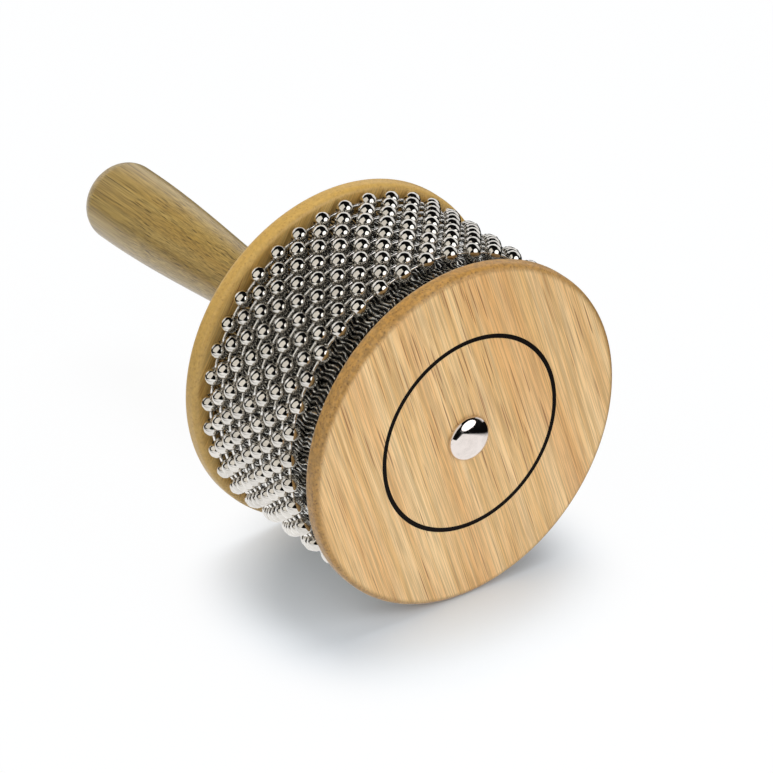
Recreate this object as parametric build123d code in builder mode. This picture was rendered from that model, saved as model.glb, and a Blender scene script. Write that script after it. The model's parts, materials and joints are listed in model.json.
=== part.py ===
from build123d import *
import math
import os

# A cabasa: loops of ball chain that turn round a ribbed steel drum, between two wooden discs on a handle.
# It lies on the rims of its discs. +Y runs along the drum from the front disc to the handle, and +Z is up.
# All sizes are in millimetres and all angles in degrees.

# Wooden discs
disc_diameter = 120.0
disc_thickness = 6.6
disc_edge_round = 2.1
rim_proud = 1.0  # how far the discs stand out past the beads

# Drum between the discs
drum_length = 60.0
sheet_thickness = 0.7
sleeve_fit = 0.05  # gap between the core and the sheet
sleeve_end_gap = 0.2  # gap between the sheet and each disc
rib_count = 120
rib_height = 0.8
rib_width = 1.1
seam_gap = 0.4
seam_land = 9.0  # bare strip of sheet along the seam, without ribs
seam_angle = -90.0  # where the seam lies round the drum, on its underside

# Nails along the sleeve's seam
nail_rows = 4
nail_from_seam = 2.4
nail_diameter = 1.4
nail_length = 12.0
nail_head_diameter = 2.8
nail_head_thickness = 0.4
nail_clearance = 0.05

# Ball chain
loop_count = 9
loop_pitch = 5.44
beads_per_loop = 38
first_bead_angle = 6.85
bead_diameter = 5.8
bead_wall = 0.45
bead_hole_diameter = 1.9
link_rod_diameter = 1.1
link_head_diameter = 2.4
link_head_length = 0.9
link_head_inset = 1.0  # from a bead's centre to the nearest end of a link
chain_clearance = 0.3  # between the beads and the ribs
chain_end_clearance = 0.35  # between the last loop and the back disc

# Tie bolt through the drum, with a domed head and a square neck
bolt_diameter = 6.0
bolt_head_diameter = 15.7
bolt_head_height = 3.6
bolt_head_edge = 0.5
bolt_neck_width = 6.0
bolt_neck_length = 4.2
bolt_reach = 23.0  # length inside the handle
bolt_tip_chamfer = 0.8
bolt_bore_clearance = 0.25
bolt_neck_clearance = 0.05
bolt_tip_gap = 3.0
thread_clearance = 0.05

# Threaded insert in the handle
insert_diameter = 10.0
insert_length = 20.0
insert_flange_diameter = 13.0
insert_flange_thickness = 1.2
insert_fit = 0.03

# Handle, turned from one piece
handle_length = 130.6
neck_diameter = 18.0
neck_straight = 15.0
grip_diameter = 28.5
grip_widest_from_end = 13.8
handle_end_round = 8.0
handle_end_crown = 0.8

# Dowels between each disc and the core
dowel_count = 2
dowel_circle_diameter = 68.0
dowel_diameter = 6.0
dowel_in_disc = 4.2
dowel_in_core = 12.0
dowel_chamfer = 0.6
dowel_fit = 0.03
dowel_end_gap = 0.3

# Radii that follow from the sizes above, from the rim of the discs inwards
disc_radius = disc_diameter / 2
bead_radius = bead_diameter / 2
loop_radius = disc_radius - rim_proud - bead_radius
rib_top_radius = loop_radius - bead_radius - chain_clearance
sheet_outer_radius = rib_top_radius - rib_height
sheet_inner_radius = sheet_outer_radius - sheet_thickness
core_radius = sheet_inner_radius - sleeve_fit
dowel_circle_radius = dowel_circle_diameter / 2
bolt_bore_radius = bolt_diameter / 2 + bolt_bore_clearance
dowel_hole_radius = dowel_diameter / 2 + dowel_fit

# Places along the drum. The whole length is centred on the origin.
overall_length = bolt_head_height + 2 * disc_thickness + drum_length + handle_length
front_face = bolt_head_height - overall_length / 2
drum_front = front_face + disc_thickness
drum_back = drum_front + drum_length
back_face = drum_back + disc_thickness
bolt_end = back_face + bolt_reach

drum_axis = Axis((0, 0, disc_radius), (0, 1, 0))
# In this plane a point is (place along the drum, distance from its axis).
profile_plane = Plane(origin=(0, 0, disc_radius), x_dir=(0, 1, 0), z_dir=(1, 0, 0))


def facing_front(place):
    """Plane across the drum that looks to the front, so that a negative extrusion goes to the back."""
    return Plane(origin=(0, place, disc_radius), x_dir=(1, 0, 0), z_dir=(0, -1, 0))


def facing_back(place):
    """Plane across the drum that looks to the back, so that a negative extrusion goes to the front."""
    return Plane(origin=(0, place, disc_radius), x_dir=(-1, 0, 0), z_dir=(0, 1, 0))


def save(piece, name):
    """Label a finished piece and write it to its own file."""
    piece.part.label = name
    export_step(piece.part, f"parts/{name}.step")


os.makedirs("parts", exist_ok=True)

# Front disc: a bore for the bolt, a square pocket for its neck and blind holes for the dowels.
neck_pocket_width = bolt_neck_width + 2 * bolt_neck_clearance
with BuildPart() as front_disc:
    with BuildSketch(facing_front(front_face)):
        Circle(disc_radius)
    extrude(amount=-disc_thickness)
    fillet(front_disc.edges().filter_by(GeomType.CIRCLE), disc_edge_round)
    with BuildSketch(facing_front(front_face)):
        Circle(bolt_bore_radius)
    extrude(amount=-disc_thickness, mode=Mode.SUBTRACT)
    with BuildSketch(facing_front(front_face)):
        Rectangle(neck_pocket_width, neck_pocket_width)
    extrude(amount=-(bolt_neck_length + bolt_neck_clearance), mode=Mode.SUBTRACT)
    with BuildSketch(facing_back(drum_front)):
        with PolarLocations(dowel_circle_radius, dowel_count):
            Circle(dowel_hole_radius)
    extrude(amount=-(dowel_in_disc + dowel_end_gap), mode=Mode.SUBTRACT)
save(front_disc, "front_disc")

# Back disc: a bore for the bolt and blind holes for the dowels.
with BuildPart() as back_disc:
    with BuildSketch(facing_front(drum_back)):
        Circle(disc_radius)
    extrude(amount=-disc_thickness)
    fillet(back_disc.edges().filter_by(GeomType.CIRCLE), disc_edge_round)
    with BuildSketch(facing_front(drum_back)):
        Circle(bolt_bore_radius)
    extrude(amount=-disc_thickness, mode=Mode.SUBTRACT)
    with BuildSketch(facing_front(drum_back)):
        with PolarLocations(dowel_circle_radius, dowel_count):
            Circle(dowel_hole_radius)
    extrude(amount=-(dowel_in_disc + dowel_end_gap), mode=Mode.SUBTRACT)
save(back_disc, "back_disc")

# One nail of the sleeve, lying along +X from the drum's axis, and the hole that it is driven into.
nail_tip_radius = sheet_outer_radius - nail_length
with BuildPart() as nail:
    with BuildSketch():
        with Locations((nail_tip_radius, 0)):
            Rectangle(nail_length, nail_diameter / 2, align=(Align.MIN, Align.MIN))
        with Locations((sheet_outer_radius, 0)):
            Rectangle(nail_head_thickness, nail_head_diameter / 2, align=(Align.MIN, Align.MIN))
    revolve(axis=Axis.X)
with BuildPart() as nail_hole:
    with BuildSketch():
        with Locations((nail_tip_radius - nail_clearance, 0)):
            Rectangle(
                nail_length + 2 * nail_clearance,
                nail_diameter / 2 + nail_clearance,
                align=(Align.MIN, Align.MIN),
            )
    revolve(axis=Axis.X)

# The nails stand in a row on each side of the seam.
nail_angle = math.degrees(nail_from_seam / sheet_outer_radius)
nail_spacing = drum_length / nail_rows
nail_planes = [facing_front(drum_front + nail_spacing * (row + 0.5)) for row in range(nail_rows)]
nail_pattern = {
    "radius": 0,
    "count": 2,
    "start_angle": seam_angle - nail_angle,
    "angular_range": 2 * nail_angle,
    "endpoint": True,
}

# Wooden core of the drum: a bore for the bolt, and holes for the dowels and the nails.
with BuildPart() as drum_core:
    with BuildSketch(facing_front(drum_front)):
        Circle(core_radius)
        Circle(bolt_bore_radius, mode=Mode.SUBTRACT)
    extrude(amount=-drum_length)
    with BuildSketch(facing_front(drum_front), facing_back(drum_back)):
        with PolarLocations(dowel_circle_radius, dowel_count):
            Circle(dowel_hole_radius)
    extrude(amount=-(dowel_in_core + dowel_end_gap), mode=Mode.SUBTRACT)
    with Locations(*nail_planes):
        with PolarLocations(**nail_pattern):
            add(nail_hole.part, mode=Mode.SUBTRACT)
save(drum_core, "drum_core")

# Ribbed steel sleeve: a sheet rolled round the core, open at its seam, with ribs along the drum.
sleeve_front = drum_front + sleeve_end_gap
sleeve_length = drum_length - 2 * sleeve_end_gap
rib_root_radius = sheet_outer_radius - sheet_thickness / 2
land_angle = math.degrees(seam_land / sheet_outer_radius)
with BuildPart() as ribbed_sleeve:
    with BuildSketch(facing_front(sleeve_front)):
        Circle(sheet_outer_radius)
        with PolarLocations(
            (rib_root_radius + rib_top_radius) / 2,
            rib_count,
            start_angle=seam_angle + land_angle / 2,
            angular_range=360 - land_angle,
            endpoint=True,
        ):
            Rectangle(rib_top_radius - rib_root_radius, rib_width)
        Circle(sheet_inner_radius, mode=Mode.SUBTRACT)
        with PolarLocations(sheet_inner_radius, 1, start_angle=seam_angle):
            Rectangle(2 * (sheet_thickness + rib_height), seam_gap, mode=Mode.SUBTRACT)
    extrude(amount=-sleeve_length)
    with Locations(*nail_planes):
        with PolarLocations(**nail_pattern):
            add(nail_hole.part, mode=Mode.SUBTRACT)
save(ribbed_sleeve, "ribbed_sleeve")

with BuildPart() as sleeve_nails:
    with Locations(*nail_planes):
        with PolarLocations(**nail_pattern):
            add(nail.part)
save(sleeve_nails, "sleeve_nails")

# Dowels: each crosses the joint between a disc and the core.
dowel_length = dowel_in_disc + dowel_in_core
for name, joint_plane in (
    ("front_dowels", facing_front(drum_front)),
    ("back_dowels", facing_back(drum_back)),
):
    with BuildPart() as dowels:
        with BuildSketch(joint_plane.offset(dowel_in_disc)):
            with PolarLocations(dowel_circle_radius, dowel_count):
                Circle(dowel_diameter / 2)
        extrude(amount=-dowel_length)
        chamfer(dowels.edges().filter_by(GeomType.CIRCLE), dowel_chamfer)
    save(dowels, name)

# Tie bolt: a domed head on the front disc, a square neck in its pocket and a shank that ends in the handle.
head_radius = bolt_head_diameter / 2
with BuildPart() as tie_bolt:
    with BuildSketch(profile_plane):
        with BuildLine():
            dome = TangentArc(
                (front_face - bolt_head_height, 0),
                (front_face - bolt_head_edge, head_radius),
                tangent=(0, 1),
            )
            Polyline(dome @ 1, (front_face, head_radius), (front_face, 0), dome @ 0)
        make_face()
    revolve(axis=drum_axis)
    with BuildSketch(facing_front(front_face)):
        Circle(bolt_diameter / 2)
    extrude(amount=-(bolt_end - front_face))
    chamfer(tie_bolt.edges().filter_by(GeomType.CIRCLE).sort_by(Axis.Y)[-1], bolt_tip_chamfer)
    with BuildSketch(facing_front(front_face)):
        Rectangle(bolt_neck_width, bolt_neck_width)
    extrude(amount=-bolt_neck_length)
save(tie_bolt, "tie_bolt")

# Threaded insert, shown without its thread: a barrel with a flange that lies flush with the handle's end.
with BuildPart() as handle_insert:
    with BuildSketch(facing_front(back_face)):
        Circle(insert_flange_diameter / 2)
    extrude(amount=-insert_flange_thickness)
    with BuildSketch(facing_front(back_face)):
        Circle(insert_diameter / 2)
    extrude(amount=-insert_length)
    with BuildSketch(facing_front(back_face)):
        Circle(bolt_diameter / 2 + thread_clearance)
    extrude(amount=-insert_length, mode=Mode.SUBTRACT)
save(handle_insert, "handle_insert")

# Handle: a straight neck that swells to a rounded grip, bored for the insert and for the bolt's end.
handle_tip = back_face + handle_length
neck_end = back_face + neck_straight
grip_widest = handle_tip - grip_widest_from_end
grip_edge = handle_tip - handle_end_crown
with BuildPart() as handle:
    with BuildSketch(profile_plane) as handle_profile:
        with BuildLine():
            Polyline((back_face, 0), (back_face, neck_diameter / 2), (neck_end, neck_diameter / 2))
            Spline(
                (neck_end, neck_diameter / 2),
                (grip_widest, grip_diameter / 2),
                tangents=((1, 0), (1, 0)),
            )
            Line((grip_widest, grip_diameter / 2), (grip_edge, grip_diameter / 2))
            TangentArc((handle_tip, 0), (grip_edge, grip_diameter / 2), tangent=(0, 1))
            Line((handle_tip, 0), (back_face, 0))
        make_face()
        grip_corner = handle_profile.vertices().group_by(Axis.Y)[-1].sort_by(Axis.X)[-1]
        fillet(grip_corner, handle_end_round)
    revolve(axis=drum_axis)
    with BuildSketch(facing_front(back_face)):
        Circle(insert_flange_diameter / 2 + insert_fit)
    extrude(amount=-(insert_flange_thickness + insert_fit), mode=Mode.SUBTRACT)
    with BuildSketch(facing_front(back_face)):
        Circle(insert_diameter / 2 + insert_fit)
    extrude(amount=-(insert_length + insert_fit), mode=Mode.SUBTRACT)
    with BuildSketch(facing_front(back_face)):
        Circle(bolt_bore_radius)
    extrude(amount=-(bolt_reach + bolt_tip_gap), mode=Mode.SUBTRACT)
save(handle, "handle")

# One hollow bead, with its two holes along Y.
with BuildPart() as bead:
    with BuildSketch():
        Circle(bead_radius)
        Circle(bead_radius - bead_wall, mode=Mode.SUBTRACT)
        Rectangle(bead_hole_diameter, bead_diameter, mode=Mode.SUBTRACT)
        split(bisect_by=Plane.YZ)
    revolve(axis=Axis.Y)

# One link along Y: a rod with a head at each end, and each head is caught inside a bead.
bead_step = 360 / beads_per_loop
bead_spacing = 2 * loop_radius * math.sin(math.radians(bead_step / 2))
link_radius = loop_radius * math.cos(math.radians(bead_step / 2))
link_length = bead_spacing - 2 * link_head_inset
with BuildPart() as link:
    with BuildSketch():
        Rectangle(link_rod_diameter / 2, link_length, align=(Align.MIN, Align.CENTER))
        with Locations((0, link_length / 2)):
            Rectangle(link_head_diameter / 2, link_head_length, align=(Align.MIN, Align.MAX))
        with Locations((0, -link_length / 2)):
            Rectangle(link_head_diameter / 2, link_head_length, align=(Align.MIN, Align.MIN))
    revolve(axis=Axis.Y)

# Loops of chain, counted from the front. The last one lies beside the back disc,
# and each loop is turned by half a step against its neighbours, so that the beads nest.
last_loop_place = drum_back - chain_end_clearance - bead_radius
for index in range(loop_count):
    number = index + 1
    loop_plane = facing_front(last_loop_place - loop_pitch * (loop_count - number))
    loop_turn = first_bead_angle + bead_step / 2 * (index % 2)
    with BuildPart(loop_plane) as beads:
        with PolarLocations(loop_radius, beads_per_loop, start_angle=loop_turn):
            add(bead.part)
    save(beads, f"bead_loop_{number}")
    with BuildPart(loop_plane) as links:
        with PolarLocations(link_radius, beads_per_loop, start_angle=loop_turn + bead_step / 2):
            add(link.part)
    save(links, f"link_loop_{number}")
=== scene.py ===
import json
import logging
import math
from dataclasses import dataclass
from enum import Enum
from typing import Any, Mapping, Sequence

import bmesh
import bpy
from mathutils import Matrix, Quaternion, Vector


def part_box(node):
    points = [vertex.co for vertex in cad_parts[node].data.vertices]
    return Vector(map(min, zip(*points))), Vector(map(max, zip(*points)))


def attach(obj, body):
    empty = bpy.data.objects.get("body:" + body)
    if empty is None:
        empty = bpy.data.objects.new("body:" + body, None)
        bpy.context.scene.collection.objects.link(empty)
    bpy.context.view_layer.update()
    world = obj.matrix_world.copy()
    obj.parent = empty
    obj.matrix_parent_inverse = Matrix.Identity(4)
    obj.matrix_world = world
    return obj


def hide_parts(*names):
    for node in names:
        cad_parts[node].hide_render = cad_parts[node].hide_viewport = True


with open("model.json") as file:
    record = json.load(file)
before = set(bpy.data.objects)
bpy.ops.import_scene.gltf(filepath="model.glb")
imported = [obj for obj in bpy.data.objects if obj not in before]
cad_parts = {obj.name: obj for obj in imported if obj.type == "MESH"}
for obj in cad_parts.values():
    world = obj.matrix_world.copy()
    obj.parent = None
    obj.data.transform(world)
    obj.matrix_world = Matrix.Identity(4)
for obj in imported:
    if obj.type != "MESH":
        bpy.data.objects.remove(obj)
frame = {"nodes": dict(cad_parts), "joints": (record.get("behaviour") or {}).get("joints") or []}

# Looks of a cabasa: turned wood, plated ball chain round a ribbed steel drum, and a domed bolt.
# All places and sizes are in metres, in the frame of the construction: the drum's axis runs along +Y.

MM = 0.001
SEED = 7
FULL_TURN = 2 * math.pi
CRISP_ANGLE = math.radians(38)
ON_AXIS = 1e-7

Colour = tuple[float, float, float, float]
Point = tuple[float, float]
Socket = bpy.types.NodeSocket

log = logging.getLogger("cabasa")


def shade(red: int, green: int, blue: int) -> Colour:
    """Turn a colour as seen on screen into the linear values that shaders use.

    Args:
        red: Red from 0 to 255.
        green: Green from 0 to 255.
        blue: Blue from 0 to 255.

    Returns:
        Linear red, green and blue, and an alpha of 1.
    """
    parts = [value / 255 for value in (red, green, blue)]
    linear = [p / 12.92 if p <= 0.04045 else ((p + 0.055) / 1.055) ** 2.4 for p in parts]
    return (linear[0], linear[1], linear[2], 1.0)


class SocketKind(Enum):
    """Kinds of sockets on a node group."""

    VALUE = "NodeSocketFloat"
    COUNT = "NodeSocketInt"
    VECTOR = "NodeSocketVector"
    SHAPE = "NodeSocketGeometry"
    MATERIAL = "NodeSocketMaterial"


class TreeKind(Enum):
    """Kinds of node groups."""

    SHADER = "ShaderNodeTree"
    GEOMETRY = "GeometryNodeTree"


class Graph:
    """A node tree with short calls that add and join its nodes."""

    def __init__(self, tree: bpy.types.NodeTree) -> None:
        """Keep the tree that the calls add to."""
        self.tree = tree

    def feed(self, socket: Socket, value: Any) -> None:
        """Join a socket to an input, or set the input to a plain value."""
        if isinstance(value, bpy.types.NodeSocket):
            self.tree.links.new(value, socket)
        else:
            socket.default_value = value

    def node(self, kind: str, inputs: Mapping[Any, Any] | None = None, **settings: Any) -> bpy.types.Node:
        """Add one node.

        Args:
            kind: Blender's name for this kind of node.
            inputs: A socket or a plain value for each input, by its name or number.
            settings: Properties of the node, such as its operation.

        Returns:
            The new node.
        """
        made = self.tree.nodes.new(kind)
        for name, value in settings.items():
            setattr(made, name, value)
        for key, value in (inputs or {}).items():
            self.feed(made.inputs[key], value)
        return made

    def math(self, operation: str, *values: Any) -> Socket:
        """Work out one number from one, two or three."""
        return self.node("ShaderNodeMath", dict(enumerate(values)), operation=operation).outputs[0]

    def vector(self, operation: str, *values: Any) -> Socket:
        """Work out one vector from one or two."""
        return self.node("ShaderNodeVectorMath", dict(enumerate(values)), operation=operation).outputs[0]

    def length(self, vector: Socket) -> Socket:
        """Measure a vector."""
        return self.node("ShaderNodeVectorMath", {0: vector}, operation="LENGTH").outputs["Value"]

    def combine(self, x: Any, y: Any, z: Any) -> Socket:
        """Make a vector from three numbers."""
        return self.node("ShaderNodeCombineXYZ", {0: x, 1: y, 2: z}).outputs[0]

    def separate(self, vector: Socket) -> tuple[Socket, Socket, Socket]:
        """Take a vector apart into three numbers."""
        made = self.node("ShaderNodeSeparateXYZ", {0: vector})
        return made.outputs[0], made.outputs[1], made.outputs[2]

    def fade(self, value: Any, low: Any, high: Any, start: float = 0.0, end: float = 1.0) -> Socket:
        """Map a number smoothly from one range to another.

        Args:
            value: The number.
            low: Where the fade begins.
            high: Where the fade ends.
            start: The result at the beginning.
            end: The result at the end.

        Returns:
            The faded number.
        """
        inputs = {0: value, 1: low, 2: high, 3: start, 4: end}
        return self.node("ShaderNodeMapRange", inputs, interpolation_type="SMOOTHSTEP").outputs[0]

    def noise(self, vector: Any, detail: float = 2.0, roughness: float = 0.5) -> Socket:
        """Read smooth noise about one unit wide at a point."""
        inputs = {"Vector": vector, "Scale": 1.0, "Detail": detail, "Roughness": roughness}
        return self.node("ShaderNodeTexNoise", inputs).outputs[0]

    def blend(self, share: Any, first: Any, second: Any) -> Socket:
        """Mix two colours.

        Args:
            share: How much of the second colour shows, from 0 to 1.
            first: The colour at 0.
            second: The colour at 1.

        Returns:
            The mixed colour.
        """
        # Inputs 6 and 7 and output 2 of the node are its colours.
        inputs = {0: share, 6: first, 7: second}
        return self.node("ShaderNodeMix", inputs, data_type="RGBA").outputs[2]

    def darken(self, colour: Any, tone: Socket) -> Socket:
        """Multiply a colour by a number."""
        return self.vector("MULTIPLY", colour, self.combine(tone, tone, tone))


@dataclass(frozen=True)
class Port:
    """One named input or output of a node group."""

    name: str
    kind: SocketKind


def ports(kind: SocketKind, *names: str) -> list[Port]:
    """List ports of one kind by their names."""
    return [Port(name, kind) for name in names]


class Group:
    """A new node group with named inputs and outputs."""

    def __init__(self, name: str, kind: TreeKind, inputs: Sequence[Port], outputs: Sequence[Port]) -> None:
        """Make the group and its ports.

        Args:
            name: What the group is called.
            kind: Whether it shades or makes shapes.
            inputs: The ports that take values.
            outputs: The ports that give results.
        """
        self.tree = bpy.data.node_groups.new(name, kind.value)
        self.graph = Graph(self.tree)
        self.identifiers: dict[str, str] = {}
        for port in outputs:
            self.tree.interface.new_socket(port.name, in_out="OUTPUT", socket_type=port.kind.value)
        for port in inputs:
            made = self.tree.interface.new_socket(port.name, in_out="INPUT", socket_type=port.kind.value)
            self.identifiers[port.name] = made.identifier
        self.given = self.graph.node("NodeGroupInput").outputs
        self.result = self.graph.node("NodeGroupOutput").inputs

    def give(self, name: str, value: Any) -> None:
        """Send a value to one of the group's outputs."""
        self.graph.feed(self.result[name], value)


def wood_grain_group() -> bpy.types.NodeTree:
    """Build the grain that all the woods share.

    Its coordinates are in millimetres, with X along the grain.

    Returns:
        A shader group that gives growth bands, fibres, open pores and their height.
    """
    takes = ports(SocketKind.VECTOR, "Coordinates")
    takes += ports(SocketKind.VALUE, "Band Width", "Fibre Width", "Pore Width", "Pore Length", "Waviness")
    gives = ports(SocketKind.VALUE, "Bands", "Fibres", "Pores", "Height")
    group = Group("Wood grain", TreeKind.SHADER, takes, gives)
    graph, given = group.graph, group.given
    drift_rate = (0.011, 0.03, 0.03)
    slow = graph.vector("MULTIPLY", given["Coordinates"], drift_rate)
    drift = graph.node("ShaderNodeTexNoise", {"Vector": slow, "Scale": 1.0, "Detail": 1.0})
    centred = graph.vector("SUBTRACT", drift.outputs["Color"], (0.5, 0.5, 0.5))
    sway = graph.combine(0.0, given["Waviness"], given["Waviness"])
    place = graph.vector("ADD", given["Coordinates"], graph.vector("MULTIPLY", centred, sway))

    band_length, band_flatness, band_range = 140.0, 2.2, (0.33, 0.67)
    band_depth = graph.math("MULTIPLY", given["Band Width"], band_flatness)
    band_size = graph.combine(band_length, band_depth, given["Band Width"])
    bands = graph.noise(graph.vector("DIVIDE", place, band_size), detail=3.0, roughness=0.6)
    group.give("Bands", graph.fade(bands, *band_range))

    fibre_length, fibre_height, fibre_range = 26.0, 0.35, (0.3, 0.7)
    fibre_size = graph.combine(fibre_length, given["Fibre Width"], given["Fibre Width"])
    fibres = graph.noise(graph.vector("DIVIDE", place, fibre_size), detail=3.0, roughness=0.65)
    group.give("Fibres", graph.fade(fibres, *fibre_range))

    pore_edge, pore_depth = (0.2, 0.36), (0.3, 1.0)
    crowded_bands, crowding = (0.35, 0.65), (0.5, 0.9)
    pore_size = graph.combine(given["Pore Length"], given["Pore Width"], given["Pore Width"])
    pore_place = graph.vector("DIVIDE", place, pore_size)
    cell = graph.node("ShaderNodeTexVoronoi", {"Vector": pore_place, "Scale": 1.0, "Randomness": 1.0})
    thickness = graph.fade(cell.outputs["Distance"], *pore_edge, 1.0, 0.0)
    chance, depth, _ = graph.separate(cell.outputs["Color"])
    crowded = graph.fade(bands, *crowded_bands, *crowding)
    kept = graph.math("MULTIPLY", thickness, graph.math("LESS_THAN", chance, crowded))
    pores = graph.math("MULTIPLY", kept, graph.fade(depth, 0.0, 1.0, *pore_depth))
    group.give("Pores", pores)
    raised = graph.math("MULTIPLY", fibres, fibre_height)
    group.give("Height", graph.math("SUBTRACT", raised, pores))
    return group.tree


def handling_marks_group() -> bpy.types.NodeTree:
    """Build the smudges and fine scratches that the metals and the ink share.

    Its coordinates are in millimetres.

    Returns:
        A shader group that gives smudges, scratches and their height.
    """
    takes = ports(SocketKind.VECTOR, "Coordinates", "Scratch Size") + ports(SocketKind.VALUE, "Smudge Size")
    gives = ports(SocketKind.VALUE, "Smudges", "Scratches", "Height")
    group = Group("Handling marks", TreeKind.SHADER, takes, gives)
    graph, given = group.graph, group.given
    size, smudge_range, scratch_range = given["Smudge Size"], (0.35, 0.7), (0.55, 0.8)
    smudge_place = graph.vector("DIVIDE", given["Coordinates"], graph.combine(size, size, size))
    smudges = graph.noise(smudge_place, detail=4.0, roughness=0.6)
    group.give("Smudges", graph.fade(smudges, *smudge_range))
    scratch_place = graph.vector("DIVIDE", given["Coordinates"], given["Scratch Size"])
    scratches = graph.noise(scratch_place, detail=2.0, roughness=0.7)
    group.give("Scratches", graph.fade(scratches, *scratch_range))
    group.give("Height", scratches)
    return group.tree


@dataclass(frozen=True)
class SharedEffects:
    """Shader groups that more than one finish uses."""

    grain: bpy.types.NodeTree
    marks: bpy.types.NodeTree


class Surface:
    """A material with its shader, and coordinates in millimetres."""

    def __init__(self, name: str) -> None:
        """Make an empty material with one shader."""
        self.material = bpy.data.materials.new(name)
        self.material.use_nodes = True
        self.graph = Graph(self.material.node_tree)
        self.shader = self.material.node_tree.nodes["Principled BSDF"]
        self.coordinates = self.graph.node("ShaderNodeTexCoord").outputs["Object"]

    def placed(self, turn: Sequence[float] = (0, 0, 0), shift: Sequence[float] = (0, 0, 0)) -> Socket:
        """Give the object's coordinates in millimetres, turned and then shifted.

        Args:
            turn: Angles about X, Y and Z, in degrees.
            shift: Distances along X, Y and Z, in millimetres.

        Returns:
            The coordinates.
        """
        inputs = {
            "Vector": self.coordinates,
            "Location": tuple(shift),
            "Rotation": tuple(math.radians(angle) for angle in turn),
            "Scale": (1 / MM, 1 / MM, 1 / MM),
        }
        return self.graph.node("ShaderNodeMapping", inputs).outputs[0]

    def use(self, tree: bpy.types.NodeTree, inputs: Mapping[str, Any]) -> Mapping[str, Socket]:
        """Place a shared group in this material and give its outputs."""
        return self.graph.node("ShaderNodeGroup", inputs, node_tree=tree).outputs

    def set(self, **values: Any) -> None:
        """Set inputs of the shader, with underscores for the spaces in their names."""
        for name, value in values.items():
            self.graph.feed(self.shader.inputs[name.replace("_", " ")], value)

    def bump(self, height: Socket, depth: float, strength: float = 1.0) -> None:
        """Raise the surface by a height, whose full range is depth metres."""
        inputs = {"Height": height, "Distance": depth, "Strength": strength}
        self.set(Normal=self.graph.node("ShaderNodeBump", inputs).outputs[0])


@dataclass(frozen=True)
class Finish:
    """A finish that can be laid on a new material."""

    name: str

    def material(self, effects: SharedEffects) -> bpy.types.Material:
        """Build the material.

        Args:
            effects: The shared shader groups.

        Returns:
            The finished material.
        """
        surface = Surface(self.name)
        self.lay(surface, effects)
        return surface.material

    def lay(self, surface: Surface, effects: SharedEffects) -> None:
        """Join up the shader of the new material."""
        raise NotImplementedError


@dataclass(frozen=True)
class WoodFinish(Finish):
    """A lacquered or bare wood, whose grain runs along one direction."""

    pale: Colour
    tan: Colour
    amber: Colour
    pore: Colour
    turn: tuple[float, float, float]
    shift: tuple[float, float, float] = (0.0, 0.0, 0.0)
    band_width: float = 2.6
    fibre_width: float = 0.4
    pore_width: float = 0.7
    pore_length: float = 30.0
    waviness: float = 1.5
    fibre_share: float = 0.34
    amber_share: float = 0.6
    pore_share: float = 0.85
    roughness: tuple[float, float] = (0.36, 0.52)
    coat: float = 0.12
    coat_roughness: float = 0.3
    relief: float = 0.12 * MM
    relief_strength: float = 0.5
    cloud_rate: tuple[float, float, float] = (0.006, 0.05, 0.07)
    cloud_range: tuple[float, float] = (0.42, 0.68)

    def lay(self, surface: Surface, effects: SharedEffects) -> None:
        """Colour the wood and give it its clear coat."""
        surface.set(Base_Color=self.colour(surface, effects))
        surface.set(Coat_Weight=self.coat, Coat_Roughness=self.coat_roughness)

    def colour(self, surface: Surface, effects: SharedEffects) -> Socket:
        """Lay the grain, and set the roughness and the bump that go with it.

        Args:
            surface: The material in the making.
            effects: The shared shader groups.

        Returns:
            The colour of the bare wood.
        """
        graph = surface.graph
        inputs = {
            "Coordinates": surface.placed(self.turn, self.shift),
            "Band Width": self.band_width,
            "Fibre Width": self.fibre_width,
            "Pore Width": self.pore_width,
            "Pore Length": self.pore_length,
            "Waviness": self.waviness,
        }
        grain = surface.use(effects.grain, inputs)
        clouds = graph.noise(graph.vector("MULTIPLY", inputs["Coordinates"], self.cloud_rate))
        banded = graph.blend(grain["Bands"], self.pale, self.tan)
        warm = graph.math("MULTIPLY", graph.fade(clouds, *self.cloud_range), self.amber_share)
        warmed = graph.blend(warm, banded, self.amber)
        streaked = graph.darken(warmed, graph.fade(grain["Fibres"], 0.0, 1.0, 1.0 - self.fibre_share, 1.0))
        holes = graph.math("MULTIPLY", grain["Pores"], self.pore_share)
        surface.set(Roughness=graph.fade(grain["Fibres"], 0.0, 1.0, self.roughness[1], self.roughness[0]))
        surface.bump(grain["Height"], self.relief, self.relief_strength)
        return graph.blend(holes, streaked, self.pore)


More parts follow.
